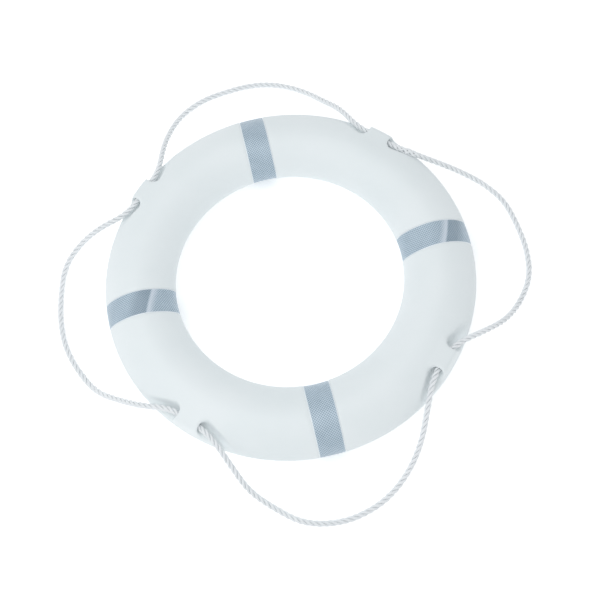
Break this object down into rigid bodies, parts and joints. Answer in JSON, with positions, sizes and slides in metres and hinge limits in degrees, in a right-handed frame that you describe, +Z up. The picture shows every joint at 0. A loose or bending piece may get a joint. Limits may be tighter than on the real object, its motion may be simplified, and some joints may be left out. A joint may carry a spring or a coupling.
{
  "type": "ring lifebuoy",
  "caption": "Rigid ring lifebuoy: a foam-filled moulded ring with reflective bands and a twisted grab line threaded through moulded lugs.",
  "frame": {"origin": "centre of the ring, on the level surface that its back rests on", "axes": "+Z up along the ring's axis, from its back to its front; +X and +Y each pass through the middle of a reflective band, so the four lugs are at 45 degrees to them"},
  "size_m": [0.9428, 0.9581, 0.1017],
  "materials": {
    "shell": "satin",
    "foam": "matte",
    "tape": "satin",
    "plug": "satin",
    "rope": "matte"
  },
  "bodies": {
    "root": {"outer_shell": "shell", "foam_core": "foam", "reflective_band_right": "tape", "reflective_band_top": "tape", "reflective_band_left": "tape", "reflective_band_bottom": "tape", "filler_plug": "plug", "vent_plug": "plug", "grab_line": "rope", "line_splice": "rope"}
  },
  "joints": []
}
